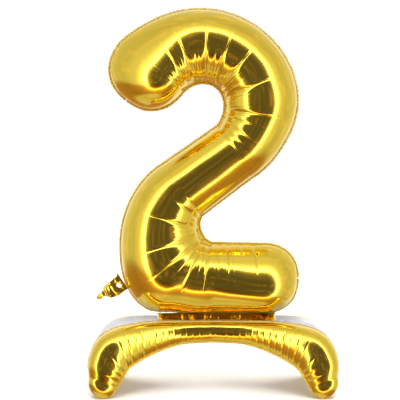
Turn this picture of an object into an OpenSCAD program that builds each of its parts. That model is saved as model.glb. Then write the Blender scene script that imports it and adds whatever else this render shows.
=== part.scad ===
// Standing foil number balloon: an inflated figure 2 on a four-legged inflated base.
// Millimetres, +Z up. The origin is on the floor under the middle of the base,
// the figure's weld lies in the plane y = 0, and the reader of the figure stands at -Y.

/* [Foil] */
// Wall of a foil sheet, drawn thicker than the real 0.03 so that it is a solid
foil_t = 0.5; // [0.4:0.1:0.8]
// Wall of a clear valve or web film
film_t = 0.3; // [0.2:0.1:0.5]
// Width of the heat-welded margin round every inflated piece
margin_w = 4; // [3:0.5:5]
// Thickness of the two welded layers together
margin_t = 0.8; // [0.6:0.1:1]

/* [Figure] */
// Height of the bowl's centre above the floor
bowl_z = 589; // [585:1:595]
// Height of the lower corner's centre above the floor
corner_z = 331; // [328:1:334]
// Where the foot bar's round end starts, to the right of the middle
foot_end_x = 103; // [90:1:110]
// Half thickness of the tube where it is 76 mm to each side of its spine
tube_half_depth = 66; // [60:1:72]

/* [Base] */
// How far each foot's end stands to the left or right of the middle
foot_x = 222; // [216:1:228]
// How far each foot's end stands to the front or rear of the middle
foot_y = 80; // [76:1:86]
// Lean of each lobe's upper weld towards the middle plane, in degrees
lobe_lean = 19; // [16:1:24]
// Left end of the foil neck that carries the figure
neck_left = -117; // [-125:1:-100]
// Right end of the foil neck that carries the figure
neck_right = 132; // [115:1:140]
// Height of the line where the neck grips the figure's margin
neck_top = 157; // [156.5:0.5:157.5]

/* [Filling tails] */
// Width of the figure's filling tail
tail_w = 40; // [36:1:42]
// Length of the figure's filling tail to the middle of its tip
tail_l = 58; // [54:1:62]
// Diameter of the string hole in the figure's tail
tail_hole_d = 9; // [6:0.5:10]
// Width of the base's filling tail
base_tail_w = 32; // [28:1:34]
// Length of the base's filling tail
base_tail_l = 46; // [40:1:50]
// How far a valve reaches into its chamber
valve_l = 48; // [40:1:50]
// Width of a valve's film
valve_w = 24; // [20:1:26]

/* [Hidden] */

gold = [0.85, 0.66, 0.16];
gold_weld = [0.78, 0.6, 0.14];
silver_film = [0.82, 0.83, 0.86];
clear_film = [0.9, 0.92, 0.95];

front = [0, -1, 0];
across_figure = 12;  // facets from weld to weld on the figure
across_lobe = 8;     // facets from weld to weld on a base lobe
cap_angles = [18, 36, 53, 68, 80];

// The bowl, by rows of angle about its centre, spine radius and half width of the tube
bowl_centre = [-21, 0, bowl_z];
bowl_rows = [
    [142, 136, 83], [117, 130, 78], [60, 127, 75],
    [7, 123, 76], [-25, 116, 69], [-55, 115, 64]
];
// The lower corner, by the same rows about its own centre
corner_centre = [-2, 0, corner_z];
corner_rows = [
    [125, 105, 67], [160, 105, 76], [190, 109, 85],
    [216, 118, 95], [231, 118, 93], [246, 105, 80], [270, 99, 71]
];
reference_half_width = 76;
bowl_end_length = 86;
foot_end_length = 74;
foot_end_half_width = 71;
end_squareness = 2.3;

// One half of a base lobe, by rows of x, distance from the middle plane, z and half width
foot_z = 31;
lobe_rows = [
    [0, 24, 122.5, 19], [68, 31, 121, 21], [131, 46, 112.5, 31],
    [184, 63, 97, 41], [207, 71, 80, 44], [219, 76, 55, 39],
    [foot_x, foot_y, foot_z, 30]
];
lobe_depth_ratio = 0.86;
web_sag = 5;
web_end_z = 88;      // the web stops where the outer weld of a leg is this high
neck_gap = 0.6;      // air between the neck and the figure's margin, so that the figure can sway
weld_gap = 0.25;     // between pieces that lie on each other

tail_angle = 215;                    // the figure's tail points down to the left
tail_root_angle = 209.5;             // and leaves the corner in this direction from its centre
tail_root_reach = 216.5;
tail_tip_r = 6.5;
tail_throat_w = 9;
tail_hole_at = [11, 3];
tail_root = corner_centre + [cos(tail_root_angle), 0, sin(tail_root_angle)] * tail_root_reach;
valve_inset = 15;                    // a valve's film ends this far inside the outer edge of the weld
base_tail_x = 60;
base_tail_drop = 2;                  // the base's tail leaves this far below the weld
base_tail_gap = 3.6;                 // and this far behind the weld's edge

// ---- Curves ----

function unit(v) = v / norm(v);

function mix(a, b, t) = a + (b - a) * t;

// A Catmull-Rom curve through the rows, where t counts the rows
function on_curve(rows, t) =
    let (
        last = len(rows) - 1,
        i = min(floor(t), last - 1),
        f = t - i,
        p1 = rows[i],
        p2 = rows[i + 1],
        p0 = i > 0 ? rows[i - 1] : 2 * p1 - p2,
        p3 = i < last - 1 ? rows[i + 2] : 2 * p2 - p1
    )
    0.5 * (2 * p1 + (p2 - p0) * f + (2 * p0 - 5 * p1 + 4 * p2 - p3) * f * f
        + (3 * p1 - p0 - 3 * p2 + p3) * f * f * f);

function curve(rows, steps) = [
    for (k = [0:steps * (len(rows) - 1)]) on_curve(rows, k / steps)
];

// ---- Rings ----
// A ring is [centre, side, out, half width, half depth, end direction, end angle].
// side points across the tube to one weld, and out points away from the weld plane.

// The rings that round off an end, from the last full ring to just short of its tip
function cap_rings(last, end, reach, squareness) = [
    for (a = cap_angles)
        let (
            s = sin(a),
            w = pow(1 - pow(s, squareness), 1 / squareness)
        )
        [last[0] + end * reach * s, last[1], last[2], last[3] * w, last[4] * w, end, a]
];

function reversed(list) = [for (i = [len(list) - 1:-1:0]) list[i]];

function figure_ring(centre, side, half, inset) = [
    centre, side, front, half - inset,
    tube_half_depth * sqrt(half / reference_half_width) - inset, side, 0
];

function bowl_ring(row, inset) =
    let (u = [cos(row[0]), 0, sin(row[0])])
    figure_ring(bowl_centre + u * row[1], u, row[2], inset);

function corner_ring(row, inset) =
    let (u = [cos(row[0]), 0, sin(row[0])])
    figure_ring(corner_centre + u * row[1], -u, row[2], inset);

function between(a, b, t, inset) =
    figure_ring(mix(a[0], b[0], t), unit(mix(a[1], b[1], t)), mix(a[3], b[3], t) + inset, inset);

// The whole figure from the bowl's end to the foot bar's end, its surface moved in by inset
function figure_rings(inset) =
    let (
        bowl = [for (row = curve(bowl_rows, 4)) bowl_ring(row, inset)],
        corner = [for (row = curve(corner_rows, 4)) corner_ring(row, inset)],
        into = bowl[len(bowl) - 1],
        out_of = corner[len(corner) - 1],
        foot = figure_ring([foot_end_x, 0, corner_z - 101], [0, 0, 1], foot_end_half_width, inset)
    )
    concat(
        reversed(cap_rings(bowl[0], bowl_end_direction, bowl_end_length - inset, end_squareness)),
        bowl,
        [for (t = [0.25, 0.5, 0.75]) between(into, corner[0], t, inset)],
        corner,
        [between(out_of, foot, 0.5, inset), foot],
        cap_rings(foot, [1, 0, 0], foot_end_length - inset, end_squareness)
    );

bowl_end_direction = [-sin(bowl_rows[0][0]), 0, cos(bowl_rows[0][0])];
bowl_tip = bowl_ring(bowl_rows[0], 0)[0];
foot_tip = [foot_end_x, 0, corner_z - 101];

function figure_tips(inset) = [
    bowl_tip + bowl_end_direction * (bowl_end_length - inset),
    foot_tip + [1, 0, 0] * (foot_end_length - inset)
];

// The front lobe of the base, from its left foot to its right foot
lobe_steps = 4;
turn_reach = 8;      // rings turn over this many steps each way, so that they don't cross in a bend
lobe_spine = let (
        right = curve(lobe_rows, lobe_steps),
        left = [for (i = [len(right) - 1:-1:1]) [-right[i][0], right[i][1], right[i][2], right[i][3]]]
    ) concat(left, right);

function spine_point(i) = [lobe_spine[i][0], -lobe_spine[i][1], lobe_spine[i][2]];

function lobe_ring(i, inset) =
    let (
        last = len(lobe_spine) - 1,
        along = unit(
            spine_point(min(i + turn_reach, last)) - spine_point(max(i - turn_reach, 0))
        ),
        flat = unit([-along[2], 0, along[0]]),
        side = unit(flat * cos(lobe_lean) + [0, sin(lobe_lean), 0]),
        half = lobe_spine[i][3]
    )
    [spine_point(i), side, unit(cross(along, side)), half - inset,
        half * lobe_depth_ratio - inset, along, 0];

function lobe_body(inset) = [for (i = [0:len(lobe_spine) - 1]) lobe_ring(i, inset)];

foot_reach = 31.5;

function lobe_rings(inset) =
    let (body = lobe_body(inset), last = len(body) - 1)
    concat(
        reversed(cap_rings(body[0], -body[0][5], foot_reach - inset, 2)),
        body,
        cap_rings(body[last], body[last][5], foot_reach - inset, 2)
    );

function lobe_tips(inset) =
    let (body = lobe_body(inset), last = len(body) - 1)
    [
        body[0][0] - body[0][5] * (foot_reach - inset),
        body[last][0] + body[last][5] * (foot_reach - inset)
    ];

// ---- Solids from rings ----

// A foot rests on the floor with a flat patch
function on_floor(p, floor_z) = [p[0], p[1], max(p[2], floor_z)];

function skin_ring(ring, facing, facets, floor_z) = [
    for (j = [0:facets])
        let (a = 180 * j / facets)
        on_floor(ring[0] + ring[1] * ring[3] * cos(a) + ring[2] * facing * ring[4] * sin(a), floor_z)
];

// Half a tube as a shell with a closed edge. facing is 1 for the side that out points to, or -1.
module skin(outer, inner, outer_tips, inner_tips, facing, facets) {
    n = len(outer);
    per = facets + 1;
    points = concat(
        [for (ring = outer) each skin_ring(ring, facing, facets, 0)],
        [for (ring = inner) each skin_ring(ring, facing, facets, foil_t)],
        [for (p = outer_tips) on_floor(p, 0)],
        [for (p = inner_tips) on_floor(p, foil_t)]
    );
    inside = n * per;
    tips = 2 * n * per;
    wall = [
        for (i = [0:n - 2], j = [0:facets - 1])
            let (a = i * per + j)
            [a, a + 1, a + per + 1, a + per]
    ];
    ends = [for (j = [0:facets - 1]) each [
        [j + 1, j, tips],
        [(n - 1) * per + j, (n - 1) * per + j + 1, tips + 1]
    ]];
    rim = [for (i = [0:n - 2], j = [0, facets]) let (a = i * per + j)
        j == 0 ? [a, a + per, a + per + inside, a + inside] : [a + per, a, a + inside, a + per + inside]
    ];
    rim_ends = [
        [tips, 0, inside, tips + 2],
        [facets, tips, tips + 2, inside + facets],
        [(n - 1) * per, tips + 1, tips + 3, inside + (n - 1) * per],
        [tips + 1, n * per - 1, inside + n * per - 1, tips + 3]
    ];
    inner_wall = [for (f = wall) [for (k = [3:-1:0]) f[k] + inside]];
    inner_ends = [for (f = ends) [f[1] + inside, f[0] + inside, f[2] + 2]];
    faces = concat(wall, ends, rim, rim_ends, inner_wall, inner_ends);
    polyhedron(points, facing > 0 ? faces : [for (f = faces) reversed(f)]);
}

// Each stop of a weld is [point, away from the tube, out of the weld plane, width]
function weld_stop(ring, way, fades) =
    let (width = fades ? margin_w * (1 - 0.9 * sin(ring[6])) : margin_w)
    [ring[0] + ring[1] * way * ring[3],
        unit(ring[1] * way * cos(ring[6]) + ring[5] * sin(ring[6])), ring[2], width];

function tip_stop(tip, ring, fades) = [tip, ring[5], ring[2], fades ? margin_w * 0.1 : margin_w];

function weld_loop(rings, tips, fades) =
    let (last = len(rings) - 1)
    concat(
        [tip_stop(tips[0], rings[0], fades)],
        [for (ring = rings) weld_stop(ring, 1, fades)],
        [tip_stop(tips[1], rings[last], fades)],
        [for (ring = reversed(rings)) weld_stop(ring, -1, fades)]
    );

// The flat welded margin that runs all the way round an inflated piece
module margin(stops) {
    n = len(stops);
    points = [for (s = stops) each [
        on_floor(s[0] + s[2] * margin_t / 2, 0),
        on_floor(s[0] + s[1] * s[3] + s[2] * margin_t / 2, 0),
        on_floor(s[0] + s[1] * s[3] - s[2] * margin_t / 2, 0),
        on_floor(s[0] - s[2] * margin_t / 2, 0)
    ]];
    polyhedron(points, [
        for (i = [0:n - 1], j = [0:3])
            let (a = 4 * i, b = 4 * ((i + 1) % n), k = (j + 1) % 4)
            [b + j, b + k, a + k, a + j]
    ]);
}

// A thin sheet through rows of points, with its underside moved by shift
module sheet(rows, shift) {
    n = len(rows);
    m = len(rows[0]);
    under = n * m;
    points = concat([for (row = rows) each row], [for (row = rows, p = row) p + shift]);
    top = [for (i = [0:n - 2], j = [0:m - 2]) let (a = i * m + j) [a, a + m, a + m + 1, a + 1]];
    edges = [for (i = [0:n - 2]) each [
        [i * m, i * m + under, (i + 1) * m + under, (i + 1) * m],
        [(i + 2) * m - 1, (i + 2) * m - 1 + under, (i + 1) * m - 1 + under, (i + 1) * m - 1]
    ]];
    ends = [for (j = [0:m - 2]) each [
        [j + 1, j + 1 + under, j + under, j],
        [under - m + j, 2 * under - m + j, 2 * under - m + j + 1, under - m + j + 1]
    ]];
    polyhedron(points, concat(top, [for (f = top) [for (k = [3:-1:0]) f[k] + under]], edges, ends));
}

// ---- Figure ----

module figure_foil(facing) {
    color(gold)
        skin(figure_rings(0), figure_rings(foil_t), figure_tips(0), figure_tips(foil_t),
            facing, across_figure);
}

module figure_seam_margin() {
    color(gold_weld) margin(weld_loop(figure_rings(0), figure_tips(0), false));
}

// Puts a flat outline, drawn along +X, into the figure's weld plane along the tail
module along_tail() {
    translate(tail_root) rotate([0, -tail_angle, 0]) rotate([90, 0, 0]) children();
}

module tail_outline() {
    throat = tail_throat_w / 2;
    polygon([
        [-2, -tail_w * 0.48], [6, -tail_w * 0.37], [tail_l * 0.68, -tail_w * 0.3],
        [tail_l * 0.8, -throat * 1.6], [tail_l * 0.87, -throat], [tail_l, -throat],
        [tail_l, throat], [tail_l * 0.85, throat * 1.1], [tail_l * 0.78, tail_w * 0.22],
        [tail_l * 0.68, tail_w * 0.42], [tail_l * 0.45, tail_w * 0.52], [2, tail_w * 0.52]
    ]);
    translate([tail_l, 0]) circle(r = tail_tip_r, $fn = 48);
}

// layer is -1 for the front sheet or 0 for the rear one
module figure_tail_foil(layer) {
    color(gold)
        along_tail()
            difference() {
                translate([0, 0, -foil_t * (layer + 1)])
                    linear_extrude(foil_t) tail_outline();
                translate([tail_hole_at[0], tail_hole_at[1], -foil_t * 2])
                    cylinder(d = tail_hole_d, h = foil_t * 4, $fn = 48);
            }
}

// Each film is welded between the foils and hangs free inside the figure
module figure_valve_film(layer) {
    color(clear_film)
        along_tail()
            translate([-valve_l - valve_inset, -valve_w / 2, -film_t * (layer + 1)])
                cube([valve_l, valve_w, film_t]);
}

// ---- Base ----

module lobe_foil(facing) {
    color(gold)
        skin(lobe_rings(0), lobe_rings(foil_t), lobe_tips(0), lobe_tips(foil_t),
            facing, across_lobe);
}

module lobe_margin() {
    color(gold_weld) margin(weld_loop(lobe_rings(0), lobe_tips(0), true));
}

// Front lobe pieces are drawn as they are, and rear ones are their mirror image
module rear() {
    mirror([0, 1, 0]) children();
}

// Where the web meets the front lobe's upper margin
web_edge = [for (ring = lobe_body(0)) ring[0] + ring[1] * (ring[3] + margin_w + weld_gap)];

function web_row(p) = [
    for (y = [-1, -0.5, 0, 0.5, 1]) [p[0], -y * p[1], p[2] - web_sag * (1 - y * y)]
];

module base_web_film() {
    color(silver_film)
        sheet([for (p = web_edge) if (p[2] > web_end_z) web_row(p)], [0, 0, -film_t]);
}

web_y = [for (p = web_edge) if (p[2] > web_end_z) [p[0], p[1]]];
web_z = [for (p = web_edge) if (p[2] > web_end_z) [p[0], p[2]]];
neck_steps = 14;

// The front sheet of the neck climbs from the web's front edge to the figure's margin
function neck_row(x) =
    let (
        low = [x, lookup(x, web_y) + 0.5, lookup(x, web_z) + weld_gap * 2],
        high = [x, -margin_t / 2 - neck_gap, neck_top - foil_t]
    )
    [for (s = [0, 0.25, 0.5, 0.75, 1]) [x, mix(low[1], high[1], s), mix(low[2], high[2], pow(s, 1.5))]];

module neck_foil() {
    color(gold)
        sheet(
            [for (k = [0:neck_steps]) neck_row(mix(neck_left, neck_right, k / neck_steps))],
            [0, 0, foil_t]
        );
}

// The lower weld of the rear lobe where the base's tail leaves it
base_tail_i = [for (i = [0:len(lobe_spine) - 1]) if (lobe_spine[i][0] > base_tail_x - 12) i][0];
base_tail_ring = lobe_ring(base_tail_i, 0);
base_tail_edge = base_tail_ring[0] - base_tail_ring[1] * (base_tail_ring[3] + margin_w);
base_tail_root = [base_tail_edge[0], -base_tail_edge[1] + base_tail_gap, base_tail_edge[2] - base_tail_drop];

// layer is 0 for the lower sheet or 1 for the upper one
module base_tail_foil(layer) {
    color(gold)
        translate(base_tail_root)
            translate([0, 0, foil_t * (layer - 1)])
                linear_extrude(foil_t) {
                    translate([-base_tail_w / 2, 0]) square([base_tail_w, base_tail_l - base_tail_w / 2]);
                    translate([0, base_tail_l - base_tail_w / 2]) circle(d = base_tail_w, $fn = 48);
                }
}

module base_valve_film(layer) {
    lean = lobe_lean;
    color(clear_film)
        translate([base_tail_ring[0][0], -base_tail_ring[0][1], base_tail_ring[0][2]])
            rotate([lean, 0, 0])
                translate([-valve_w / 2, film_t * (layer - 1), weld_gap * 8 - base_tail_ring[3]])
                    cube([valve_w, film_t, base_tail_ring[3] * 1.5]);
}

figure_foil(1);  // figure_front_foil
figure_foil(-1);  // figure_rear_foil
figure_seam_margin();
figure_valve_film(-1);  // figure_valve_front_film
figure_valve_film(0);  // figure_valve_rear_film
figure_tail_foil(-1);  // figure_tail_front_foil
figure_tail_foil(0);  // figure_tail_rear_foil
lobe_foil(1);  // base_front_outer_foil
lobe_foil(-1);  // base_front_inner_foil
rear() lobe_foil(1);  // base_rear_outer_foil
rear() lobe_foil(-1);  // base_rear_inner_foil
lobe_margin();  // base_front_seam_margin
rear() lobe_margin();  // base_rear_seam_margin
base_web_film();
neck_foil();  // neck_front_foil
rear() neck_foil();  // neck_rear_foil
base_valve_film(1);  // base_valve_upper_film
base_valve_film(0);  // base_valve_lower_film
base_tail_foil(1);  // base_tail_upper_foil
base_tail_foil(0);  // base_tail_lower_foil
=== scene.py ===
import math
from collections import namedtuple

import bpy
import numpy as np
from mathutils.geometry import delaunay_2d_cdt
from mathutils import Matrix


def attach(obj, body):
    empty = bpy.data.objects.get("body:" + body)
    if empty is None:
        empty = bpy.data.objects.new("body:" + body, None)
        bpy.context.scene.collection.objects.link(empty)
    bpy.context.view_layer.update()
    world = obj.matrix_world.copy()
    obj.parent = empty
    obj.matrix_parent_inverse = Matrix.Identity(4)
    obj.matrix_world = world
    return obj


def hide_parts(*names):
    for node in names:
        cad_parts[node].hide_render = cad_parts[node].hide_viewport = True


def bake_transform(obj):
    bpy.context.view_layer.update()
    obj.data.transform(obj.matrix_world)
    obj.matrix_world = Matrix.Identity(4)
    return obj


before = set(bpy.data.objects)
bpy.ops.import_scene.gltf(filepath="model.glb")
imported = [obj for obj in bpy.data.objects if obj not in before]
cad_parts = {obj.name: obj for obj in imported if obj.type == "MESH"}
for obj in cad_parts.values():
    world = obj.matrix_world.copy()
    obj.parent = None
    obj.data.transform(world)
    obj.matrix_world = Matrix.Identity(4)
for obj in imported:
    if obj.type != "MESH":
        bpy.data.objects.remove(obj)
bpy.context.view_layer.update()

MM = 0.001
FRONT = np.array([0.0, -1.0, 0.0])
UP = np.array([0.0, 0.0, 1.0])

# ---- The figure's design, as the CAD has it, in millimetres ----
# Rows of angle about the bend's centre, spine radius and half width of the tube
BOWL_CENTRE = (-21, 589)
BOWL_ROWS = [(142, 136, 83), (117, 130, 78), (60, 127, 75), (7, 123, 76), (-25, 116, 69), (-55, 115, 64)]
BOWL_END_REACH = 86
CORNER_CENTRE = (-2, 331)
CORNER_ROWS = [
    (125, 105, 67), (160, 105, 76), (190, 109, 85),
    (216, 118, 95), (231, 118, 93), (246, 105, 80), (270, 99, 71),
]
FOOT_END_X = 103
FOOT_END_HALF = 71
FOOT_END_REACH = 74
TUBE_HALF_DEPTH = 66
REFERENCE_HALF_WIDTH = 76
END_SQUARENESS = 2.3

# ---- The base's front lobe, in millimetres: x, distance from the middle plane, z, half width ----
LOBE_ROWS = [
    (0, 24, 122.5, 19), (68, 31, 121, 21), (131, 46, 112.5, 31), (184, 63, 97, 41),
    (207, 71, 80, 44), (219, 76, 55, 39), (222, 80, 31, 30),
]
LOBE_LEAN = math.radians(19)
LOBE_DEPTH_RATIO = 0.86
LOBE_STEPS = 4
LOBE_TURN_REACH = 8
FOOT_REACH = 31.5

# The camera stands higher than the middle of the picture, which its shift makes up for
CAMERA_HEIGHT = 0.5
PICTURE_MIDDLE = 0.394
PICTURE_WIDTH = 0.84

MARGIN_W = 4
WEB_SAG = 5
WEB_END_Z = 88
NECK_ENDS = (-117, 132)
NECK_TOP = 157
NECK_GAP = 1.0

# The tails: where each one leaves, and its outline or size
TAIL_ROOT = (-190.4, 0, 224.4)
TAIL_W = 40
TAIL_L = 58
TAIL_TIP_R = 6.5
TAIL_THROAT = 4.5
TAIL_HOLE = (11, 3, 4.5)
TAIL_DEGREES = 215
BASE_TAIL_ROOT = (49.74, 40.1, 97.3)
BASE_TAIL_W = 32
BASE_TAIL_L = 46

# ---- Creases: where they start, how far they drift by their end, reach, depth and spread ----
# Reach is in half widths from the inner weld, so 1 is the tube's crest. On the bowl and the
# corner the start and the drift are degrees about the bend's centre, and elsewhere millimetres.
BOWL_CREASES = [
    (139, -3, 0.70, 2.2, 10), (121, 2, 1.25, 3.2, 15), (107, 3, 1.35, 4.0, 16), (104, -5, 0.90, 2.0, 8),
    (98, 0, 0.90, 1.3, 5), (86, 1, 1.40, 3.8, 16), (76, -1, 1.00, 2.0, 8), (65, 2, 1.35, 3.5, 14),
    (47, 1, 1.45, 3.9, 17), (33, 1, 0.75, 2.2, 9), (22, -1, 1.40, 3.6, 16), (8, 0, 0.45, 1.3, 6),
    (3, 0, 0.50, 1.3, 6), (-10, 0, 1.40, 3.6, 16), (-22, 1, 1.15, 2.6, 11), (-36, 1, 1.30, 3.2, 14),
    (-47, 2, 1.20, 2.8, 11), (-54, 2, 1.25, 2.6, 11),
]
CORNER_CREASES = [
    (126, 1, 0.90, 2.4, 10), (140, -1, 1.10, 3.0, 13), (152, 0, 0.60, 1.6, 8), (165, 1, 1.35, 3.6, 16),
    (181, 0, 0.60, 1.6, 8), (196, -1, 1.40, 3.7, 17), (208, 0, 0.55, 1.6, 7), (217, 1, 1.35, 3.5, 15),
    (230, -1, 1.05, 2.0, 7), (233, 1, 0.80, 1.6, 6), (240, 1, 1.25, 3.0, 13), (251, -1, 0.95, 1.7, 6),
    (254, 1, 0.75, 1.5, 6), (260, 0, 1.20, 2.6, 11),
]
FOOT_CREASES = [
    (10, 2, 0.95, 1.8, 7), (15, -2, 0.60, 1.3, 5), (31, 2, 1.00, 2.0, 8), (36, 5, 0.70, 1.3, 5),
    (58, 4, 0.60, 1.6, 9), (84, 8, 0.90, 2.2, 12),
]
LOBE_CREASES = [
    (3, 1, 1.45, 0.8, 2.6), (14, 0, 1.30, 0.6, 2.2), (27, -1, 1.45, 0.9, 2.8), (41, 1, 1.35, 0.7, 2.4),
    (54, 1, 1.50, 1.0, 3.0), (68, -1, 1.30, 0.7, 2.4), (80, 1, 1.40, 0.9, 2.6), (93, 2, 1.50, 1.2, 3.4),
    (106, 1, 1.35, 0.8, 2.6), (119, 2, 1.50, 1.3, 3.6), (132, 1, 1.35, 1.0, 3.0), (146, 2, 1.50, 1.5, 4.0),
    (160, 1, 1.30, 1.1, 3.2), (174, 2, 1.45, 1.5, 4.2), (188, 3, 1.30, 1.3, 4.0),
]

# Down the legs: distance from the spine's end, reach, depth and spread
LEG_CREASES = [(52, 1.1, 2.0, 9), (33, 0.8, 1.6, 8), (14, 1.0, 1.6, 9)]

# Where finer creases are: from, to, and the distance between them in millimetres
BOWL_ZONES = [(141, 60, 10), (60, -54, 24)]
CORNER_ZONES = [(128, 225, 24), (225, 269, 9)]
FOOT_ZONES = [(0, 46, 7)]

# ---- Cloth: a light film that hardly stretches and folds easily ----
CLOTH_QUALITY = 5
CLOTH_MASS = 0.05
CLOTH_STIFFNESS = 300
CLOTH_SHEAR = 100
CLOTH_BENDING = 0.001
CLOTH_FRAMES = 20
CLOTH_PRESSURE = 15
CLOTH_SLACK = 0.08

Spine = namedtuple("Spine", "centre side out ahead half depth place")
Sheet = namedtuple("Sheet", "points place v")


# ---- Curves ----

def on_curve(rows, t):
    """A Catmull-Rom curve through the rows, where t counts the rows."""
    rows = np.asarray(rows, float)
    last = len(rows) - 1
    i = min(int(t), last - 1)
    f = t - i
    p1, p2 = rows[i], rows[i + 1]
    p0 = rows[i - 1] if i > 0 else 2 * p1 - p2
    p3 = rows[i + 2] if i < last - 1 else 2 * p2 - p1
    linear = 2 * p1 + (p2 - p0) * f
    curved = (2 * p0 - 5 * p1 + 4 * p2 - p3) * f ** 2 + (3 * p1 - p0 - 3 * p2 + p3) * f ** 3
    return 0.5 * (linear + curved)


def curve(rows, steps):
    return np.array([on_curve(rows, k / steps) for k in range(steps * (len(rows) - 1) + 1)])


def lengths_along(points):
    steps = np.linalg.norm(np.diff(points, axis=0), axis=1)
    return np.concatenate([[0], np.cumsum(steps)])


def resample(rows, spacing):
    """The rows at equal distances along their first three columns."""
    rows = np.asarray(rows, float)
    length = lengths_along(rows[:, :3])
    count = max(int(round(length[-1] / spacing)), 2)
    at = np.linspace(0, length[-1], count + 1)
    return np.stack([np.interp(at, length, rows[:, k]) for k in range(rows.shape[1])], 1)


def unit(v):
    return v / np.linalg.norm(v, axis=-1, keepdims=True)


def direction(degrees):
    """A unit vector in the figure's plane."""
    a = math.radians(degrees)
    return np.array([math.cos(a), 0, math.sin(a)])


def eased(t):
    t = np.clip(t, 0, 1)
    return t * t * (3 - 2 * t)


# ---- Spines: a tube's middle line with its directions and sizes ----

def bend_rows(centre, rows, turn):
    """Stations of a bend: centre x, y, z, side x, y, z and half width. turn is 1 or -1."""
    out = []
    for angle, radius, half in curve(rows, 16):
        u = direction(angle)
        c = np.array([centre[0], 0, centre[1]]) + u * radius
        out.append([*c, *(u * turn), half])
    return np.array(out)


def figure_spine(spacing):
    """The figure's spine from the bowl's end to the foot bar's end, without the round ends."""
    bowl = bend_rows(BOWL_CENTRE, BOWL_ROWS, 1)
    corner = bend_rows(CORNER_CENTRE, CORNER_ROWS, -1)
    foot = np.array([FOOT_END_X, 0, corner[-1][2] - 2, 0, 0, 1, FOOT_END_HALF], float)
    diagonal = np.array([bowl[-1] + (corner[0] - bowl[-1]) * t for t in (0.25, 0.5, 0.75)])
    bar = np.array([corner[-1] + (foot - corner[-1]) * t for t in (0.5, 1)])
    rows = resample(np.vstack([bowl, diagonal, corner, bar]), spacing)
    side = unit(rows[:, 3:6])
    out = np.tile(FRONT, (len(rows), 1))
    half = rows[:, 6]
    depth = TUBE_HALF_DEPTH * np.sqrt(half / REFERENCE_HALF_WIDTH)
    return Spine(rows[:, :3], side, out, np.cross(side, out), half, depth, lengths_along(rows[:, :3]))


def lobe_spine(spacing):
    """The spine of the base's front lobe, from its left foot to its right foot."""
    right = curve(LOBE_ROWS, LOBE_STEPS)
    left = right[:0:-1] * (-1, 1, 1, 1)
    rows = np.vstack([left, right])
    centre = rows[:, :3] * (1, -1, 1)
    last = len(rows) - 1
    ahead = []
    for i in range(len(rows)):
        ahead.append(centre[min(i + LOBE_TURN_REACH, last)] - centre[max(i - LOBE_TURN_REACH, 0)])
    ahead = unit(np.array(ahead))
    flat = unit(np.stack([-ahead[:, 2], np.zeros(len(rows)), ahead[:, 0]], 1))
    side = unit(flat * math.cos(LOBE_LEAN) + np.array([0, math.sin(LOBE_LEAN), 0]))
    out = unit(np.cross(ahead, side))
    fine = resample(curve(np.hstack([centre, side, out, ahead, rows[:, 3:4]]), 4), spacing)
    half = fine[:, 12]
    return Spine(
        fine[:, :3], unit(fine[:, 3:6]), unit(fine[:, 6:9]), unit(fine[:, 9:12]),
        half, half * LOBE_DEPTH_RATIO, lengths_along(fine[:, :3]),
    )


# ---- Sheets: grids of points, rows along the tube and over its round ends, columns from weld to weld ----

def sheet_rows(spine, reaches, across, spacing):
    """Each row's station, and how far its points are along and across a round end."""
    v = np.linspace(-1, 1, across + 1)
    ends = []
    for reach, k, way in ((reaches[0], 0, -1), (reaches[1], len(spine.place) - 1, 1)):
        steps = max(int(round(reach * 1.25 / spacing)), 3)
        rows = []
        for step in range(1, steps + 1):
            u = step / steps
            rows.append((k, way * u * np.sqrt(1 - v ** 2 / 2), v * math.sqrt(1 - u ** 2 / 2), reach))
        ends.append(rows)
    body = [(k, np.zeros(across + 1), v, 0) for k in range(len(spine.place))]
    return ends[0][::-1] + body + ends[1]


def roundness(along, side, squareness):
    """How far the outline of a round end stands out from an ellipse in that direction."""
    r = np.maximum(np.hypot(along, side), 1e-9)
    share = np.abs(along / r) ** squareness + np.abs(side / r) ** squareness
    return share ** (-1 / squareness)


def inflated_sheet(spine, reaches, across, spacing, squareness=2.0, lean=None):
    """One swelled sheet of a tube, on the side that the spine's out points to.

    lean, one number for each station, moves the tube's crest towards the weld at -1."""
    points, places = [], []
    for k, along, side, reach in sheet_rows(spine, reaches, across, spacing):
        r = np.hypot(along, side)
        swell = np.sin(np.minimum(r, 1) * math.pi / 2) / np.maximum(r, 1e-9)
        if reach:
            swell = swell * (1 + (roundness(along, side, squareness) - 1) * r)
        if lean is not None:
            r = np.hypot(along, side + lean[k] * np.clip(1 - r ** 2, 0, 1))
        lift = np.cos(np.minimum(r, 1) * math.pi / 2)
        points.append(
            spine.centre[k]
            + np.outer(side * swell * spine.half[k], spine.side[k])
            + np.outer(along * swell * reach, spine.ahead[k])
            + np.outer(lift * spine.depth[k], spine.out[k])
        )
        places.append(spine.place[k] + along * reach)
    v = np.tile(np.linspace(-1, 1, across + 1), (len(points), 1))
    return Sheet(np.array(points), np.array(places), v)


def quarter_length(a, b):
    """A quarter of the perimeter of an ellipse."""
    return math.pi / 4 * (3 * (a + b) - np.sqrt((3 * a + b) * (a + 3 * b)))


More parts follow.
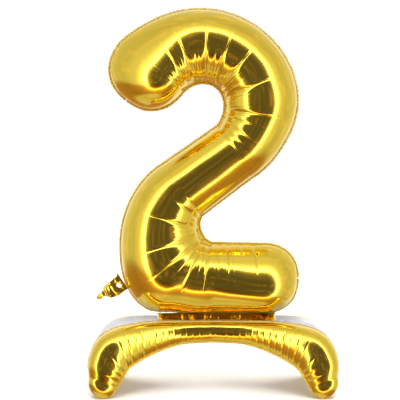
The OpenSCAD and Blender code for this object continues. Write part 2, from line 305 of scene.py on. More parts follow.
def flat_sheet(spine, reaches, across, spacing):
    """The same sheet as it was cut: bends open up, because flat edges are further from the spine."""
    widths = quarter_length(spine.half, spine.depth)
    turns = np.sum(spine.ahead[1:] * spine.side[:-1], axis=1)
    lengths = np.diff(spine.place)
    heading = np.cumsum(turns * (spine.half / widths)[:-1])
    bend = np.minimum(np.abs(turns) / lengths * spine.half[:-1], 0.8) / 0.6
    bend = np.convolve(np.pad(bend, 6, mode="edge"), np.ones(13) / 13, mode="valid")
    steps = lengths * (1 + CLOTH_SLACK * bend)
    ahead = np.stack([np.cos(heading), np.sin(heading)], 1)
    path = np.vstack([[0, 0], np.cumsum(ahead * steps[:, None], axis=0)])
    ahead = np.vstack([ahead, ahead[-1:]])
    side = np.stack([-ahead[:, 1], ahead[:, 0]], 1)
    points = []
    for k, along, across_row, reach in sheet_rows(spine, reaches, across, spacing):
        length = quarter_length(reach, spine.depth[k]) if reach else 0
        flat = path[k] + np.outer(across_row * widths[k], side[k]) + np.outer(along * length, ahead[k])
        points.append(np.stack([flat[:, 0], np.zeros(across + 1), flat[:, 1]], 1))
    return np.array(points)


def grid_faces(n, m, flip=False):
    i, j = np.meshgrid(np.arange(n - 1), np.arange(m - 1), indexing="ij")
    a = (i * m + j).ravel()
    quads = np.stack([a, a + m, a + m + 1, a + 1], 1)
    return quads[:, ::-1] if flip else quads


def make_object(name, points, faces):
    mesh = bpy.data.meshes.new(name)
    mesh.from_pydata([tuple(p) for p in points], [], [tuple(f) for f in faces])
    mesh.validate()
    mesh.update()
    mesh.shade_smooth()
    made = bpy.data.objects.new(name, mesh)
    bpy.context.scene.collection.objects.link(made)
    return made


# ---- Cloth simulation ----

def set_cloth(bag, key):
    cloth = bag.modifiers.new("cloth", "CLOTH")
    settings = cloth.settings
    settings.quality = CLOTH_QUALITY
    settings.mass = CLOTH_MASS
    settings.tension_stiffness = CLOTH_STIFFNESS
    settings.compression_stiffness = CLOTH_STIFFNESS
    settings.shear_stiffness = CLOTH_SHEAR
    settings.bending_stiffness = CLOTH_BENDING
    settings.tension_damping = 5
    settings.compression_damping = 5
    settings.shear_damping = 5
    settings.bending_damping = 0.2
    settings.air_damping = 2
    settings.use_pressure = True
    settings.uniform_pressure_force = CLOTH_PRESSURE
    settings.vertex_group_mass = "weld"
    settings.rest_shape_key = key
    settings.effector_weights.gravity = 0
    cloth.point_cache.frame_start = 1
    cloth.point_cache.frame_end = CLOTH_FRAMES


def swell_bag(front, rear, pattern):
    """Simulates a bag of two flat sheets, from near its final shape, held at its weld.

    Takes and gives the grids of the two sheets, in millimetres."""
    n, m = front.shape[:2]
    rear_index = np.arange(n * m).reshape(n, m).copy()
    rear_index[1:-1, 1:-1] = n * m + np.arange((n - 2) * (m - 2)).reshape(n - 2, m - 2)
    faces = np.vstack([grid_faces(n, m), rear_index.ravel()[grid_faces(n, m, True)]])
    start = np.vstack([front.reshape(-1, 3), rear[1:-1, 1:-1].reshape(-1, 3)])
    cut = np.vstack([pattern.reshape(-1, 3), pattern[1:-1, 1:-1].reshape(-1, 3)])
    edge = np.ones((n, m), bool)
    edge[1:-1, 1:-1] = False
    start[n * m:] += np.random.default_rng(3).normal(0, 0.05, (len(start) - n * m, 3))
    bag = make_object("bag", start * MM, faces)
    held = bag.vertex_groups.new(name="weld")
    held.add([int(k) for k in np.flatnonzero(edge.ravel())], 1, "ADD")
    bag.shape_key_add(name="inflated")
    key = bag.shape_key_add(name="as_cut")
    key.data.foreach_set("co", (cut * MM).ravel())
    key.value = 0
    set_cloth(bag, key)
    for step in range(1, CLOTH_FRAMES + 1):
        bpy.context.scene.frame_set(step)
    swelled = bag.evaluated_get(bpy.context.evaluated_depsgraph_get()).to_mesh()
    result = np.zeros(len(start) * 3)
    swelled.vertices.foreach_get("co", result)
    result = result.reshape(-1, 3) / MM
    bpy.data.objects.remove(bag)
    bpy.context.scene.frame_set(1)
    return result[:n * m].reshape(n, m, 3), result[rear_index.ravel()].reshape(n, m, 3)


# ---- Finer grids and creases ----

def finer(grid, by):
    """The grid with by times as many rows, on Catmull-Rom curves through them."""
    ends = (2 * grid[:1] - grid[1:2], grid, 2 * grid[-1:] - grid[-2:-1])
    g = np.concatenate(ends)
    p0, p1, p2, p3 = g[:-3], g[1:-2], g[2:-1], g[3:]
    rows = []
    for k in range(by):
        f = k / by
        curved = (2 * p0 - 5 * p1 + 4 * p2 - p3) * f ** 2 + (3 * p1 - p0 - 3 * p2 + p3) * f ** 3
        rows.append(0.5 * (2 * p1 + (p2 - p0) * f + curved))
    fine = np.stack(rows, 1).reshape((-1,) + grid.shape[1:])
    return np.concatenate([fine, grid[-1:]])


def finer_sheet(sheet, rows_by, columns_by):
    grid = np.concatenate([sheet.points, sheet.place[..., None], sheet.v[..., None]], 2)
    grid = finer(grid, rows_by)
    grid = finer(grid.transpose(1, 0, 2), columns_by).transpose(1, 0, 2)
    return Sheet(grid[..., :3], grid[..., 3], grid[..., 4])


def grid_normals(points):
    return unit(np.cross(np.gradient(points, axis=0), np.gradient(points, axis=1)) + 1e-12)


def crease_depths(sheet, creases):
    """How far each point is pressed in. A crease is (start, end, edge, reach, depth, spread):
    its places along the spine, the weld it starts at, -1 or 1, and its reach, depth and half width."""
    steps = np.linalg.norm(np.gradient(sheet.points, axis=0), axis=2)
    stretch = steps / np.maximum(np.abs(np.gradient(sheet.place, axis=0)), 0.2)
    stretch = np.clip(stretch, 0.15, 3)
    pressed = np.zeros(sheet.place.shape)
    for start, end, edge, reach, depth, spread in creases:
        t = (1 - sheet.v * edge) / reach
        away = np.abs(sheet.place - (start + (end - start) * t)) * stretch
        width = np.maximum(spread * (1.05 - 0.85 * np.minimum(t, 1)), 2.2)
        near = np.clip(1 - away / width, 0, 1)
        fade = eased(t / 0.12) * np.clip(1 - t, 0, 1) ** 0.7
        pressed += depth * near ** 2 * fade
    return pressed


def fine_pleats(rng, first, last, edge, every, reach, depth):
    """Small pleats along one weld, between two places on the spine."""
    out = []
    place = first
    while place < last:
        out.append((
            place, place + rng.uniform(-3, 3), edge,
            reach * rng.uniform(0.4, 1.3), depth * rng.uniform(0.4, 1.3), rng.uniform(2.5, 5),
        ))
        place += every * rng.uniform(0.4, 1.7)
    return out


def ripples(points, rng, size, wave):
    """A gentle unevenness over a whole sheet."""
    total = np.zeros(points.shape[:2])
    for _ in range(7):
        pull = unit(rng.normal(size=3)) * 2 * math.pi / (wave * rng.uniform(0.6, 1.6))
        total += np.sin(points @ pull + rng.uniform(0, 2 * math.pi))
    return total * size / 3


def press(sheet, amount):
    """The sheet's points moved inwards by amount, with its weld left where it is."""
    normal = grid_normals(sheet.points)
    amount = amount * eased((1 - np.abs(sheet.v)) / 0.06)
    amount[0] = 0
    amount[-1] = 0
    return sheet.points - normal * amount[..., None]


# ---- Camera, light and floor ----

def link(made):
    bpy.context.scene.collection.objects.link(made)
    return made


def make_camera():
    data = bpy.data.cameras.new("camera")
    data.sensor_width = 36
    data.lens = 85.7
    cam = link(bpy.data.objects.new("camera", data))
    data.shift_y = (PICTURE_MIDDLE - CAMERA_HEIGHT) / PICTURE_WIDTH
    cam.location = (-0.027, -2.0, CAMERA_HEIGHT)
    cam.rotation_euler = (math.radians(90), 0, 0)
    bpy.context.scene.camera = cam


def node(tree, kind, **values):
    made = tree.nodes.new(kind)
    for name, value in values.items():
        setattr(made, name, value)
    return made


def ramp(tree, stops):
    made = tree.nodes.new("ShaderNodeValToRGB")
    made.color_ramp.interpolation = "EASE"
    elements = made.color_ramp.elements
    while len(elements) < len(stops):
        elements.new(0.5)
    for element, (position, colour) in zip(elements, stops):
        element.position = position
        element.color = (*colour, 1)
    return made


def make_world():
    """White studio all round, with a dark wall in front of the figure and bright panels beside it."""
    world = bpy.data.worlds.new("studio")
    bpy.context.scene.world = world
    world.use_nodes = True
    tree = world.node_tree
    tree.nodes.clear()
    coordinate = node(tree, "ShaderNodeTexCoord")
    split = node(tree, "ShaderNodeSeparateXYZ")
    tree.links.new(coordinate.outputs["Generated"], split.inputs[0])
    spread = node(tree, "ShaderNodeMath", operation="MULTIPLY_ADD")
    tree.links.new(split.outputs["Y"], spread.inputs[0])
    spread.inputs[1].default_value = -0.5
    spread.inputs[2].default_value = 0.5
    tones = ramp(tree, [
        (0.0, (1.0, 1.0, 1.0)),
        (0.30, (0.72, 0.70, 0.66)),
        (0.62, (0.62, 0.60, 0.56)),
        (0.76, (0.80, 0.78, 0.75)),
        (0.835, (1.35, 1.33, 1.28)),
        (0.868, (5.5, 5.4, 5.2)),
        (0.900, (0.42, 0.36, 0.30)),
        (0.935, (0.13, 0.115, 0.11)),
        (1.0, (0.10, 0.09, 0.095)),
    ])
    tree.links.new(spread.outputs[0], tones.inputs[0])
    streaks = node(tree, "ShaderNodeTexNoise")
    streaks.inputs["Scale"].default_value = 7
    streaks.inputs["Detail"].default_value = 3
    tree.links.new(coordinate.outputs["Generated"], streaks.inputs["Vector"])
    warm = ramp(tree, [(0.50, (0, 0, 0)), (0.72, (0.30, 0.16, 0.07))])
    tree.links.new(streaks.outputs[0], warm.inputs[0])
    both = node(tree, "ShaderNodeMix", data_type="RGBA", blend_type="ADD")
    both.inputs[0].default_value = 1
    tree.links.new(tones.outputs[0], both.inputs[6])
    tree.links.new(warm.outputs[0], both.inputs[7])
    background = node(tree, "ShaderNodeBackground")
    below = ramp(tree, [
        (0.0, (1.0, 0.97, 0.92)), (0.03, (1.0, 0.95, 0.85)), (0.09, (0.60, 0.34, 0.14)),
        (0.24, (0.62, 0.38, 0.18)), (0.32, (1.0, 1.0, 1.0)),
    ])
    lower_left = node(tree, "ShaderNodeMath", operation="MULTIPLY_ADD")
    tree.links.new(split.outputs["X"], lower_left.inputs[0])
    lower_left.inputs[1].default_value = 0.12
    lower_left.inputs[2].default_value = 0.5
    height = node(tree, "ShaderNodeMath", operation="MULTIPLY_ADD")
    tree.links.new(split.outputs["Z"], height.inputs[0])
    height.inputs[1].default_value = 0.5
    tree.links.new(lower_left.outputs[0], height.inputs[2])
    tree.links.new(height.outputs[0], below.inputs[0])
    tint = node(tree, "ShaderNodeMix", data_type="RGBA", blend_type="MULTIPLY")
    tint.inputs[0].default_value = 1
    tree.links.new(both.outputs[2], tint.inputs[6])
    tree.links.new(below.outputs[0], tint.inputs[7])
    tree.links.new(tint.outputs[2], background.inputs["Color"])
    background.inputs["Strength"].default_value = 1.0
    output = node(tree, "ShaderNodeOutputWorld")
    tree.links.new(background.outputs[0], output.inputs[0])


def make_floor_light():
    """A broad sun from above that whitens the floor and doesn't show in the foil."""
    data = bpy.data.lights.new("overhead", "SUN")
    data.energy = 3.2
    data.angle = math.radians(60)
    sun = link(bpy.data.objects.new("overhead", data))
    sun.rotation_euler = (math.radians(8), math.radians(5), 0)
    sun.visible_glossy = False


def make_floor():
    size = 12
    corners = [(-size, -size, 0), (size, -size, 0), (size, size, 0), (-size, size, 0)]
    floor = make_object("floor", corners, [(0, 1, 2, 3)])
    material = bpy.data.materials.new("floor_paper")
    material.use_nodes = True
    shader = material.node_tree.nodes["Principled BSDF"]
    shader.inputs["Base Color"].default_value = (0.93, 0.93, 0.93, 1)
    shader.inputs["Roughness"].default_value = 0.7
    floor.data.materials.append(material)
    floor.visible_glossy = False


# ---- Materials ----

def foil_material(name, colour, dark, roughness, grain_size, bump, metallic=1):
    """Metallised foil: bright metal whose colour and gloss drift a little, with a fine grain."""
    material = bpy.data.materials.new(name)
    material.use_nodes = True
    tree = material.node_tree
    shader = tree.nodes["Principled BSDF"]
    coordinate = node(tree, "ShaderNodeTexCoord")
    drift = node(tree, "ShaderNodeTexNoise")
    drift.inputs["Scale"].default_value = 9
    drift.inputs["Detail"].default_value = 3
    tree.links.new(coordinate.outputs["Object"], drift.inputs["Vector"])
    tones = ramp(tree, [(0.3, dark), (0.7, colour)])
    tree.links.new(drift.outputs[0], tones.inputs[0])
    tree.links.new(tones.outputs[0], shader.inputs["Base Color"])
    gloss = node(tree, "ShaderNodeMapRange")
    gloss.inputs["To Min"].default_value = roughness * 0.75
    gloss.inputs["To Max"].default_value = roughness * 1.3
    tree.links.new(drift.outputs[0], gloss.inputs["Value"])
    tree.links.new(gloss.outputs[0], shader.inputs["Roughness"])
    shader.inputs["Metallic"].default_value = metallic
    shader.inputs["Coat Weight"].default_value = 0.6
    shader.inputs["Coat Roughness"].default_value = 0.12
    grain = node(tree, "ShaderNodeTexNoise")
    grain.inputs["Scale"].default_value = grain_size
    grain.inputs["Detail"].default_value = 4
    tree.links.new(coordinate.outputs["Object"], grain.inputs["Vector"])
    raise_grain = node(tree, "ShaderNodeBump")
    raise_grain.inputs["Strength"].default_value = bump
    raise_grain.inputs["Distance"].default_value = 0.002
    tree.links.new(grain.outputs[0], raise_grain.inputs["Height"])
    tree.links.new(raise_grain.outputs[0], shader.inputs["Normal"])
    return material


def film_material():
    """Clear valve film: thin, slightly hazy plastic."""
    material = bpy.data.materials.new("clear_film")
    material.use_nodes = True
    tree = material.node_tree
    shader = tree.nodes["Principled BSDF"]
    shader.inputs["Base Color"].default_value = (0.92, 0.93, 0.95, 1)
    shader.inputs["Transmission Weight"].default_value = 0.85
    shader.inputs["IOR"].default_value = 1.5
    coordinate = node(tree, "ShaderNodeTexCoord")
    haze = node(tree, "ShaderNodeTexNoise")
    haze.inputs["Scale"].default_value = 120
    tree.links.new(coordinate.outputs["Object"], haze.inputs["Vector"])
    gloss = node(tree, "ShaderNodeMapRange")
    gloss.inputs["To Min"].default_value = 0.08
    gloss.inputs["To Max"].default_value = 0.3
    tree.links.new(haze.outputs[0], gloss.inputs["Value"])
    tree.links.new(gloss.outputs[0], shader.inputs["Roughness"])
    return material


def finish_piece(piece, material, replaced=()):
    piece.data.materials.append(material)
    if replaced:
        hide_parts(*replaced)
    return piece


# ---- Welded margins ----

def outline(grid):
    """The points round a grid's edge, in order."""
    return np.concatenate([grid[:, -1], grid[-1, -2::-1], grid[-2::-1, 0], grid[0, 1:-1]])


def weld_strip(name, sheet, outs, middle, widths, rng, ruffle):
    """The crimped strip of two welded layers round an inflated piece, a little ruffled."""
    edge = outline(sheet.points)
    out = outline(np.repeat(outs[:, None], sheet.points.shape[1], axis=1))
    centre = outline(np.repeat(middle[:, None], sheet.points.shape[1], axis=1))
    width = outline(np.repeat(widths[:, None], sheet.points.shape[1], axis=1))
    apart = np.linalg.norm(edge - np.roll(edge, 1, axis=0), axis=1) > 0.3
    edge, out, centre, width = edge[apart], out[apart], centre[apart], width[apart]
    tangent = unit(np.roll(edge, -3, axis=0) - np.roll(edge, 3, axis=0))
    away = unit(np.cross(tangent, out))
    away *= np.sign(np.sum(away * (edge - centre), axis=1))[:, None]
    place = lengths_along(edge)
    wave = np.zeros(len(edge))
    for length in (9, 14, 23, 41):
        wave += np.sin(place * 2 * math.pi / length + rng.uniform(0, 6)) * rng.uniform(0.5, 1)
    lift = (out * (wave * ruffle)[:, None]) * np.clip((edge[:, 2:] - 20) / 40, 0, 1)
    reach = (width * (1 + 0.06 * np.roll(wave, 40)))[:, None]
    rings = [
        edge - away * 0.4 + out * 0.3, edge + away * reach * 0.5 + out * 0.3 + lift * 0.5,
        edge + away * reach + out * 0.15 + lift, edge + away * reach - out * 0.15 + lift,
        edge + away * reach * 0.5 - out * 0.3 + lift * 0.5, edge - away * 0.4 - out * 0.3,
    ]
    points = np.stack(rings, 1)
    points[..., 2] = np.maximum(points[..., 2], 0)
    n, m = points.shape[:2]
    i, j = np.meshgrid(np.arange(n), np.arange(m), indexing="ij")
    faces = np.stack([
        i * m + j, i * m + (j + 1) % m, (i + 1) % n * m + (j + 1) % m, (i + 1) % n * m + j,
    ], 2).reshape(-1, 4)
    return make_object(name, points.reshape(-1, 3) * MM, faces)


# ---- The figure ----

def place_at(spine, centre, degrees, first, last):
    """Where on the spine, in millimetres, a bend has that angle about its centre."""
    arm = spine.centre[first:last] - np.array([centre[0], 0, centre[1]])
    off = np.cross(unit(arm), direction(degrees))[:, 1]
    facing = arm @ direction(degrees) > 0
    best = np.argmin(np.where(facing, np.abs(off), 9))
    return spine.place[first + best]


def figure_creases(spine):
    """The figure's creases with their places in millimetres along its spine."""
    half_way = int(np.argmin(np.linalg.norm(spine.centre - np.array([28, 0, 455]), axis=1)))
    out = []
    for centre, rows, edge, first, last in (
        (BOWL_CENTRE, BOWL_CREASES, -1, 0, half_way),
        (CORNER_CENTRE, CORNER_CREASES, 1, half_way, len(spine.place)),
    ):
        for start, drift, reach, depth, spread in rows:
            a = place_at(spine, centre, start, first, last)
            b = place_at(spine, centre, start + drift, first, last)
            out.append((a, b, edge, reach, depth, spread))
    foot = spine.place[-1] - FOOT_END_X
    out += [(foot + x, foot + x + drift, 1, *rest) for x, drift, *rest in FOOT_CREASES]
    return out


def zone_creases(spine, rng):
    """Finer creases between the named ones."""
    half_way = len(spine.place) // 2
    foot = spine.place[-1] - FOOT_END_X
    last = len(spine.place)
    zones = []
    for centre, rows, edge, low, high in (
        (BOWL_CENTRE, BOWL_ZONES, -1, 0, half_way),
        (CORNER_CENTRE, CORNER_ZONES, 1, half_way, last),
    ):
        for a, b, every in rows:
            start = place_at(spine, centre, a, low, high)
            stop = place_at(spine, centre, b, low, high)
            zones.append((start, stop, edge, every))
    zones += [(foot + a, foot + b, 1, every) for a, b, every in FOOT_ZONES]
    out = []
    for first, last_place, edge, every in zones:
        place = first + rng.uniform(0, every)
        while place < last_place:
            out.append((
                place, place + rng.uniform(-3, 3), edge,
                rng.uniform(0.65, 1.2), rng.uniform(0.6, 1.5), rng.uniform(4, 6.5),
            ))
            place += every * rng.uniform(0.6, 1.5)
    return out


def inner_ridge(sheet, creases, change):
    """A slight ridge along the inner weld, which kinks where it meets the long creases."""
    inner = np.where(sheet.place < change, -1, 1)
    knots = sorted(a for a, b, edge, reach, depth, spread in creases if reach > 0.9)
    nearest = np.min(np.abs(sheet.place[..., None] - np.array(knots)), axis=2)
    at = 0.47 + 0.05 * np.clip(nearest / 14, 0, 1)
    off = np.abs(1 - sheet.v * inner - at) * 95
    soft = np.clip(np.abs(sheet.place - change) / 40, 0, 1)
    return -0.9 * np.clip(1 - off / 5, 0, 1) ** 1.5 * soft


def make_figure(gold, weld, simulate):
    spacing, across = 6, 26
    reaches = (BOWL_END_REACH, FOOT_END_REACH)
    spine = figure_spine(spacing)
    front = inflated_sheet(spine, reaches, across, spacing, END_SQUARENESS)
    rear = Sheet(front.points * (1, -1, 1), front.place, front.v)
    lean = 0.27 * eased(1 - spine.place / 120) + 0.14 * eased(1 - (spine.place[-1] - spine.place) / 120)
    leaning = inflated_sheet(spine, reaches, across, spacing, END_SQUARENESS, lean).points - front.points
    if simulate:
        grids = swell_bag(front.points, rear.points, flat_sheet(spine, reaches, across, spacing))
        front = front._replace(points=grids[0])
        rear = rear._replace(points=grids[1])
    front = front._replace(points=front.points + leaning)
    rear = rear._replace(points=rear.points + leaning * (1, -1, 1))
    creases = figure_creases(spine)
    bend = place_at(spine, CORNER_CENTRE, 135, len(spine.place) // 2, len(spine.place))
    for name, coarse, facing, seed in (("figure_front", front, 1, 11), ("figure_rear", rear, -1, 12)):
        rng = np.random.default_rng(seed)
        sheet = finer_sheet(coarse, 6, 2)
        pleats = fine_pleats(rng, 0, bend - 70, -1, 7, 0.35, 0.9)
        pleats += fine_pleats(rng, bend - 10, spine.place[-1], 1, 6, 0.35, 0.9)
        pleats += fine_pleats(rng, -60, 0, 0.99, 16, 0.4, 0.8)
        pleats += zone_creases(spine, rng)
        shift = 0 if facing > 0 else 9
        moved = [(a + shift, b + shift, *rest) for a, b, *rest in creases]
        amount = crease_depths(sheet, moved + pleats)
        amount += inner_ridge(sheet, moved, bend - 50)
        amount += ripples(sheet.points, rng, 0.12, 45)
        points = press(sheet, amount * facing)
        n, m = points.shape[:2]
        piece = make_object(name, points.reshape(-1, 3) * MM, grid_faces(n, m, facing < 0))
        finish_piece(piece, gold, [name + "_foil"])
        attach(piece, "figure")
    flat = finer_sheet(inflated_sheet(spine, reaches, across, spacing, END_SQUARENESS), 4, 2)
    outs = np.tile(FRONT, (len(flat.points), 1))
    middle = flat.points[:, across] * (1, 0, 1)
    widths = np.full(len(flat.points), float(MARGIN_W))
    strip = weld_strip("figure_margin", flat, outs, middle, widths, np.random.default_rng(5), 0.08)
    finish_piece(strip, weld, ["figure_seam_margin"])
    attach(strip, "figure")


# ---- The base ----

def lobe_creases(spine):
    out = []
    middle = spine.place[-1] / 2
    xs = spine.centre[:, 0]
    for x, drift, reach, depth, spread in LOBE_CREASES:
        for way in (-1, 1):
            a = float(np.interp(x * way, xs[3:-3], spine.place[3:-3]))
            out.append((a, a + drift * way, -1, reach, depth, spread))
    for back, reach, depth, spread in LEG_CREASES:
        out.append((back, back + 2, -1, reach, depth, spread))
        out.append((2 * middle - back - 3, 2 * middle - back, -1, reach, depth, spread))
    return out


def make_lobes(gold, weld, simulate):
    """Each lobe is an outer and an inner sheet and its margin. The rear lobe mirrors the front one."""
    spacing, across = 5, 14
    reaches = (FOOT_REACH, FOOT_REACH)
    spine = lobe_spine(spacing)
    outer = inflated_sheet(spine, reaches, across, spacing)
    inner = inflated_sheet(spine._replace(out=-spine.out), reaches, across, spacing)
    weld_sheet = finer_sheet(outer, 3, 3)
    lean = np.full(len(spine.place), -0.2)
    leaning = inflated_sheet(spine, reaches, across, spacing, lean=lean).points - outer.points
    if simulate:
        grids = swell_bag(outer.points, inner.points, flat_sheet(spine, reaches, across, spacing))
        outer = outer._replace(points=grids[0])
        inner = inner._replace(points=grids[1])
    outer = outer._replace(points=outer.points + leaning)
    creases = lobe_creases(spine)
    length = spine.place[-1]
    for lobe, mirror in (("front", 1), ("rear", -1)):
        for layer, coarse, facing in (("outer", outer, 1), ("inner", inner, -1)):
            rng = np.random.default_rng(len(lobe) * 10 + len(layer) + facing)
            sheet = finer_sheet(coarse, 3, 3)
            pleats = fine_pleats(rng, 5, length - 5, -1, 9, 0.6, 0.7)
            pleats += fine_pleats(rng, 5, length - 5, 1, 14, 0.4, 0.5)
            shift = 0 if (facing > 0 and mirror > 0) else rng.uniform(-8, 8)
            moved = [(a + shift, b + shift, *rest) for a, b, *rest in creases]
            amount = crease_depths(sheet, moved + pleats) + ripples(sheet.points, rng, 0.1, 30)
            points = press(sheet, amount * facing)
            points[..., 2] = np.maximum(points[..., 2], 0)
            points[..., 1] *= mirror
            n, m = points.shape[:2]
            name = f"base_{lobe}_{layer}"
            flip = facing * mirror < 0
            piece = make_object(name, points.reshape(-1, 3) * MM, grid_faces(n, m, flip))
            finish_piece(piece, gold, [name + "_foil"])
            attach(piece, "base")
        sheet = weld_sheet._replace(points=weld_sheet.points * (1, mirror, 1))
        strip = lobe_strip(f"base_{lobe}_margin", sheet, spine, reaches, across, spacing, mirror)
        finish_piece(strip, weld, [f"base_{lobe}_seam_margin"])
        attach(strip, "base")


def lobe_strip(name, sheet, spine, reaches, across, spacing, mirror):
    rows = sheet_rows(spine, reaches, across, spacing)
    outs = finer(np.array([spine.out[k] for k, *_ in rows]), 3) * (1, mirror, 1)
    middle = finer(np.array([spine.centre[k] + spine.ahead[k] * np.mean(along) * reach * 0.5
                             for k, along, _, reach in rows]), 3) * (1, mirror, 1)
    fade = finer(np.array([[1 - 0.85 * min(abs(np.mean(along)) * 1.2, 1)] for _, along, *_ in rows]), 3)
    return weld_strip(name, sheet, outs, middle, fade[:, 0] * MARGIN_W, np.random.default_rng(8), 0.1)


def upper_edge(spacing):
    """The upper edge of the front lobe's margin, from left to right, above the web's ends."""
    spine = lobe_spine(spacing)
    edge = spine.centre + spine.side * (spine.half + MARGIN_W + 0.25)[:, None]
    return edge[edge[:, 2] > WEB_END_Z]


def crumple(u, w, rng, folds, size, spread):
    """A height over a flat piece, from random straight folds, as in a crushed film."""
    total = np.zeros(np.shape(u))
    for _ in range(folds):
        a = rng.uniform(0, math.pi)
        at = rng.uniform(-1, 1)
        across = u * math.cos(a) + w * math.sin(a)
        low, high = across.min(), across.max()
        middle = (low + high) / 2 + at * (high - low) / 2
        width = spread * rng.uniform(0.5, 1.6)
        total += rng.uniform(-1, 1) * np.clip(1 - np.abs(across - middle) / width, 0, 1)
    return total * size


def make_web(silver):
    """The silver film between the two lobes, which sags and crinkles."""
    edge = upper_edge(1.6)
    y = np.linspace(-1, 1, 41)
    rng = np.random.default_rng(21)
    rows = edge.shape[0]
    points = np.empty((rows, len(y), 3))
    points[..., 0] = edge[:, :1]
    points[..., 1] = -y * edge[:, 1:2]
    points[..., 2] = edge[:, 2:] - WEB_SAG * (1 - y ** 2)
    place = lengths_along(edge)[:, None] + 0 * y
    folded = np.zeros(place.shape)
    for _ in range(260):
        at = rng.uniform(0, place.max())
        tilt = rng.uniform(-1.1, 1.1)
        across = (place - at) * math.cos(tilt) + points[..., 1] * math.sin(tilt)
        along = -(place - at) * math.sin(tilt) + points[..., 1] * math.cos(tilt)
        fold = np.clip(1 - np.abs(across) / rng.uniform(2.5, 7), 0, 1)
        folded += rng.uniform(-1.6, 1.6) * fold * np.clip(1 - np.abs(along) / rng.uniform(10, 40), 0, 1)
    held = np.clip((1 - np.abs(y)) / 0.1, 0, 1)
    points[..., 2] += np.clip(folded, -2.5, 2) * held
    piece = make_object("base_web", points.reshape(-1, 3) * MM, grid_faces(rows, len(y), True))
    thicken(piece, 0.2)
    finish_piece(piece, silver, ["base_web_film"])
    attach(piece, "base")


def thicken(piece, millimetres):
    """Gives a sheet its thickness, as real faces."""
    solid = piece.modifiers.new("thickness", "SOLIDIFY")
    solid.thickness = millimetres * MM
    solid.offset = 0
    evaluated = piece.evaluated_get(bpy.context.evaluated_depsgraph_get())
    mesh = bpy.data.meshes.new_from_object(evaluated)
    piece.modifiers.clear()
    piece.data = mesh
    mesh.shade_smooth()


def neck_sheet(facing, rng):
    """Gathered foil from the web's edge up to the figure's margin."""
    edge = upper_edge(3)
    x = np.arange(NECK_ENDS[0], NECK_ENDS[1] + 0.1, 1.2)
    s = np.linspace(0, 1, 13)
    low_y = np.interp(x, edge[:, 0], edge[:, 1])[:, None]
    low_z = np.interp(x, edge[:, 0], edge[:, 2])[:, None] + 0.8
    high_y, high_z = -NECK_GAP - 0.4, NECK_TOP
    from_end = np.minimum(x - NECK_ENDS[0], NECK_ENDS[1] - x)[:, None]
    closed = np.sqrt(np.clip(1 - (1 - np.clip(from_end / 7, 0, 1)) ** 2, 0, 1))
    knob = 6.5 * np.exp(-((from_end - 6) / 4.5) ** 2) * np.sin(s * math.pi)
    gathers = np.zeros((len(x), len(s)))
    for _ in range(46):
        at = rng.uniform(NECK_ENDS[0], NECK_ENDS[1])
        near = np.clip(1 - np.abs(x[:, None] - at - rng.uniform(-9, 9) * s) / rng.uniform(2, 5), 0, 1)
        gathers += rng.uniform(-1.2, 2.2) * near ** 1.2
    swell = gathers * np.sin(s * math.pi) ** 0.7 + knob
    y = (low_y + (high_y - low_y) * s - swell * 0.8) * closed - (1 - closed) * 0.6
    z = low_z + (high_z - low_z) * s ** 1.5 + swell * 0.6 * np.sin(s * math.pi)
    points = np.stack([x[:, None] + 0 * s, y * facing, z], 2)
    return points


def make_neck(gold):
    for name, facing, seed in (("neck_front", 1, 31), ("neck_rear", -1, 32)):
        points = neck_sheet(facing, np.random.default_rng(seed))
        n, m = points.shape[:2]
        piece = make_object(name, points.reshape(-1, 3) * MM, grid_faces(n, m, facing < 0))
        thicken(piece, 0.3)
        finish_piece(piece, gold, [name + "_foil"])
        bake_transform(piece)


# ---- The filling tails ----

def tail_shape():
    """The figure's tail as a flat outline along u, with w across it."""
    throat = TAIL_THROAT
    lower = [(-1.2, -0.48 * TAIL_W), (6, -0.37 * TAIL_W), (0.68 * TAIL_L, -0.3 * TAIL_W),
             (0.8 * TAIL_L, -1.6 * throat), (0.87 * TAIL_L, -throat)]
    upper = [(0.85 * TAIL_L, 1.1 * throat), (0.78 * TAIL_L, 0.22 * TAIL_W), (0.68 * TAIL_L, 0.42 * TAIL_W),
             (0.45 * TAIL_L, 0.52 * TAIL_W), (-1.2, 0.52 * TAIL_W)]
    a = np.radians(np.linspace(-135, 135, 24))
    tip = np.stack([TAIL_L + TAIL_TIP_R * np.cos(a), TAIL_TIP_R * np.sin(a)], 1)
    return np.vstack([lower, tip, upper])


def base_tail_shape():
    half = BASE_TAIL_W / 2
    a = np.radians(np.linspace(-90, 90, 26))
    tip = np.stack([BASE_TAIL_L - half + half * np.cos(a), half * np.sin(a)], 1)
    return np.vstack([[(0, -half)], tip, [(0, half)]])


def closely(loop, spacing):
    closed = np.vstack([loop, loop[:1]])
    rows = np.hstack([closed, np.zeros((len(closed), 1))])
    return resample(rows, spacing)[:-1, :2]


def within(points, loop):
    """Which points lie inside a closed loop."""
    x, y = points[:, 0], points[:, 1]
    inside = np.zeros(len(points), bool)
    for a, b in zip(loop, np.roll(loop, -1, axis=0)):
        crosses = (a[1] > y) != (b[1] > y)
        rise = b[1] - a[1] if b[1] != a[1] else 1e-12
        inside ^= crosses & (x < a[0] + (y - a[1]) * (b[0] - a[0]) / rise)
    return inside


def edge_distance(points, loops):
    """How far each point is from the nearest point of the loops."""
    edges = np.vstack(loops)
    return np.min(np.linalg.norm(points[:, None] - edges[None], axis=2), axis=1)


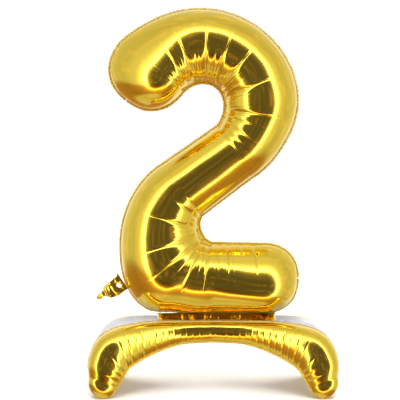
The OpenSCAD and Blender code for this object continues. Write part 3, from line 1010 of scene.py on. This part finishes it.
def flat_mesh(loop, hole, spacing):
    """Points and triangles that fill a flat outline, with an optional round hole."""
    loops = [closely(loop, spacing)]
    if hole:
        a = np.linspace(0, 2 * math.pi, 25)[:-1]
        loops.append(np.stack([hole[0] + hole[2] * np.cos(a), hole[1] + hole[2] * np.sin(a)], 1))
    low, high = loop.min(0), loop.max(0)
    u, w = np.meshgrid(np.arange(low[0], high[0], spacing), np.arange(low[1], high[1], spacing))
    w = w + (np.arange(u.shape[1]) % 2) * spacing / 2
    fill = np.stack([u.ravel(), w.ravel()], 1)
    fill = fill[within(fill, loops[0]) & (edge_distance(fill, loops) > spacing * 0.6)]
    if hole:
        fill = fill[np.linalg.norm(fill - hole[:2], axis=1) > hole[2] + spacing * 0.6]
    points = np.vstack(loops + [fill])
    made = delaunay_2d_cdt([tuple(p) for p in points], [], [], 0, 1e-5)
    points = np.array([tuple(p) for p in made[0]])
    faces = np.array([f for f in made[2] if len(f) == 3])
    middle = points[faces].mean(1)
    keep = within(middle, loops[0])
    if hole:
        keep &= np.linalg.norm(middle - hole[:2], axis=1) > hole[2] * 0.97
    return points, faces[keep], loops


def tail_sheet(name, loop, hole, frame_of, facing, rng, puff):
    """One sheet of a filling tail: crumpled, and welded to the other sheet at its edges."""
    flat, faces, loops = flat_mesh(loop, hole, 1.5)
    u, w = flat[:, 0], flat[:, 1]
    free = eased(edge_distance(flat, loops) / 5)
    height = np.abs(crumple(u, w, rng, 16, 2.2, 6)) * 0.8 + puff(u, w)
    lift = 0.35 + free * np.clip(height, 0, 4)
    wave = crumple(u, w, np.random.default_rng(77), 9, 1.3, 9) * eased((u - 4) / 12)
    root, along, across, out = frame_of
    points = root + np.outer(u, along) + np.outer(w, across) + np.outer(lift * facing + wave, out)
    piece = make_object(name, points * MM, faces)
    thicken(piece, 0.2)
    return piece


def tip_puff(u, w):
    """The round knob at the end of the figure's tail."""
    return 3.2 * np.clip(1 - np.hypot(u - TAIL_L, w) / 8, 0, 1) ** 0.5


def middle_puff(u, w):
    """The base tail's slight swelling."""
    return 1.2 * np.clip(1 - np.hypot(u - 20, w) / 22, 0, 1)


def make_tails(gold):
    along = direction(TAIL_DEGREES)
    across = np.array([-along[2], 0, along[0]])
    figure_frame = (np.array(TAIL_ROOT), along, across, FRONT)
    for layer, facing, seed in (("front", 1, 41), ("rear", -1, 42)):
        name = "figure_tail_" + layer
        rng = np.random.default_rng(seed)
        piece = tail_sheet(name, tail_shape(), TAIL_HOLE, figure_frame, facing, rng, tip_puff)
        finish_piece(piece, gold, [name + "_foil"])
        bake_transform(piece)
    rearwards = -FRONT
    base_frame = (np.array(BASE_TAIL_ROOT), rearwards, np.array([1.0, 0, 0]), UP)
    for layer, facing, seed in (("upper", 1, 51), ("lower", -1, 52)):
        name = "base_tail_" + layer
        rng = np.random.default_rng(seed)
        piece = tail_sheet(name, base_tail_shape(), None, base_frame, facing, rng, middle_puff)
        finish_piece(piece, gold, [name + "_foil"])
        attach(piece, "base_tail")


# ---- The scene ----

make_camera()
make_world()
make_floor_light()
make_floor()
bpy.context.scene.view_settings.view_transform = "Standard"
gold = foil_material("gold_foil", (0.95, 0.72, 0.06), (0.90, 0.65, 0.045), 0.12, 60, 0.04)
weld = foil_material("gold_weld", (0.97, 0.80, 0.22), (0.93, 0.72, 0.15), 0.55, 300, 0.2)
silver = foil_material("silver_film", (0.82, 0.82, 0.88), (0.42, 0.42, 0.48), 0.3, 160, 0.5, 0.5)
clear = film_material()
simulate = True
make_figure(gold, weld, simulate)
make_lobes(gold, weld, simulate)
make_web(silver)
make_neck(gold)
make_tails(gold)
for name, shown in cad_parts.items():
    if "valve" in name:
        shown.data.materials.clear()
        shown.data.materials.append(clear)
